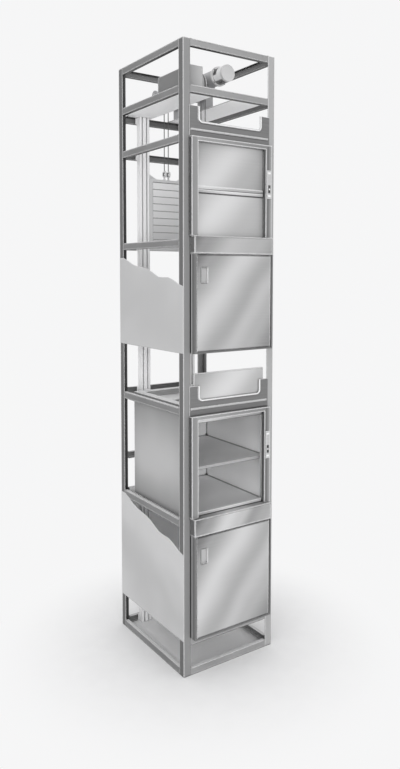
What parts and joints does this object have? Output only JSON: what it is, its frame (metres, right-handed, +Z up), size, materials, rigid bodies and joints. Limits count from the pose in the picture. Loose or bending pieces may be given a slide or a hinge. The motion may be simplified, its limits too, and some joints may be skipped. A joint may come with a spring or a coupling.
{
  "type": "dumbwaiter lift",
  "caption": "Free-standing steel tower with stainless landing hatches and service doors, a shelved car, a roped counterweight and a winding machine on top",
  "frame": {"origin": "middle of the tower's footprint, landing fronts included, on the pit floor", "axes": "X to the right of a person at the landings, Y from the landings to the back of the shaft, Z up"},
  "size_m": [0.849, 1.046, 4.71],
  "materials": {
    "frame_paint": "satin grey paint on pressed steel",
    "cladding_paint": "light grey sheet",
    "guide_metal": "bright steel",
    "machine_paint": "satin machine grey",
    "motor_paint": "light grey motor housing",
    "cast_wheel": "turned cast iron",
    "rope_steel": "drawn steel wire",
    "box_paint": "mid grey enclosure",
    "stainless": "brushed stainless sheet",
    "pull_metal": "polished",
    "button_plastic": "light grey button",
    "bezel_plastic": "black insert",
    "lens_plastic": "frosted lens",
    "weight_paint": "grey painted iron",
    "shoe_plastic": "dark sliding plastic"
  },
  "bodies": {
    "frame": {"corner_posts": "frame_paint", "left_rails": "frame_paint", "right_rails": "frame_paint", "front_rails": "frame_paint", "rear_rails": "frame_paint", "left_cladding": "cladding_paint", "right_cladding": "cladding_paint", "rear_cladding": "cladding_paint", "guide_column_left": "guide_metal", "guide_column_right": "guide_metal", "guide_seats": "guide_metal", "bed_plates": "guide_metal", "gearbox": "machine_paint", "motor_flange": "machine_paint", "motor_body": "motor_paint", "motor_end_cover": "motor_paint", "diverter_bracket": "machine_paint", "ropes_over_wheels": "rope_steel", "control_box": "box_paint", "control_box_cover": "box_paint", "upper_portal_frame": "stainless", "upper_header_plate": "stainless", "upper_sill": "stainless", "upper_service_surround": "stainless", "upper_hatch_tracks": "guide_metal", "lower_portal_frame": "stainless", "lower_header_plate": "stainless", "lower_sill": "stainless", "lower_service_surround": "stainless", "lower_hatch_tracks": "guide_metal", "service_pivots": "pull_metal", "operating_plates": "stainless", "button_bezels": "bezel_plastic", "indicator_lenses": "lens_plastic"},
    "car": {"car_walls": "stainless", "car_floor": "stainless", "car_roof": "stainless", "car_shelf": "stainless", "shelf_rests": "guide_metal", "car_beam": "guide_metal", "car_guide_shoes": "guide_metal", "car_rope_sockets": "guide_metal", "car_rope_falls": "rope_steel"},
    "counterweight": {"counterweight_frame": "weight_paint", "counterweight_slabs": "weight_paint", "counterweight_shoes": "shoe_plastic", "counterweight_eyes": "rope_steel", "counterweight_rope_falls": "rope_steel"},
    "sheave": {"traction_sheave": "cast_wheel"},
    "diverter": {"diverter_wheel": "cast_wheel"},
    "upper_rising_hatch": {"upper_rising_panel": "stainless"},
    "upper_dropping_hatch": {"upper_dropping_panel": "stainless"},
    "upper_service_leaf": {"upper_service_door": "stainless", "upper_pull": "pull_metal"},
    "upper_button_cap": {"upper_call_button": "button_plastic"},
    "lower_rising_hatch": {"lower_rising_panel": "stainless"},
    "lower_dropping_hatch": {"lower_dropping_panel": "stainless"},
    "lower_service_leaf": {"lower_service_door": "stainless", "lower_pull": "pull_metal"},
    "lower_button_cap": {"lower_call_button": "button_plastic"}
  },
  "joints": [
    {"name": "car_travel", "type": "slide", "parent": "frame", "child": "car", "axis": [0, 0, 1], "range_m": [0, 2.092], "deforming": ["car_rope_falls"]},
    {"name": "counterweight_travel", "type": "slide", "parent": "frame", "child": "counterweight", "axis": [0, 0, 1], "range_m": [-2.092, 0], "deforming": ["counterweight_rope_falls"]},
    {"name": "sheave_spin", "type": "hinge", "parent": "frame", "child": "sheave", "pos_m": [0, 0.016, 4.52], "axis": [1, 0, 0], "range_deg": [-1090, 0]},
    {"name": "diverter_spin", "type": "hinge", "parent": "frame", "child": "diverter", "pos_m": [0, 0.375, 4.505], "axis": [1, 0, 0], "range_deg": [-1332, 0]},
    {"name": "upper_rising", "type": "slide", "parent": "frame", "child": "upper_rising_hatch", "axis": [0, 0, 1], "range_m": [0, 0.312]},
    {"name": "upper_dropping", "type": "slide", "parent": "frame", "child": "upper_dropping_hatch", "axis": [0, 0, 1], "range_m": [-0.312, 0]},
    {"name": "lower_rising", "type": "slide", "parent": "frame", "child": "lower_rising_hatch", "axis": [0, 0, 1], "range_m": [-0.338, 0]},
    {"name": "lower_dropping", "type": "slide", "parent": "frame", "child": "lower_dropping_hatch", "axis": [0, 0, 1], "range_m": [0, 0.338]},
    {"name": "upper_door", "type": "hinge", "parent": "frame", "child": "upper_service_leaf", "pos_m": [0.334, -0.513, 2.814], "axis": [0, 0, 1], "range_deg": [0, 100]},
    {"name": "lower_door", "type": "hinge", "parent": "frame", "child": "lower_service_leaf", "pos_m": [0.334, -0.513, 0.693], "axis": [0, 0, 1], "range_deg": [0, 100]},
    {"name": "upper_button", "type": "slide", "parent": "frame", "child": "upper_button_cap", "axis": [0, 1, 0], "range_m": [0, 0.003], "stiffness_N_per_m": 400},
    {"name": "lower_button", "type": "slide", "parent": "frame", "child": "lower_button_cap", "axis": [0, 1, 0], "range_m": [0, 0.003], "stiffness_N_per_m": 400}
  ],
  "couplings": [
    {"joint": "counterweight_travel", "follows": "car_travel", "ratio": -1},
    {"joint": "upper_dropping", "follows": "upper_rising", "ratio": -1},
    {"joint": "lower_dropping", "follows": "lower_rising", "ratio": -1},
    {"joint": "sheave_spin", "follows": "car_travel", "rad_per_m": -9.0909},
    {"joint": "diverter_spin", "follows": "car_travel", "rad_per_m": -11.111}
  ]
}
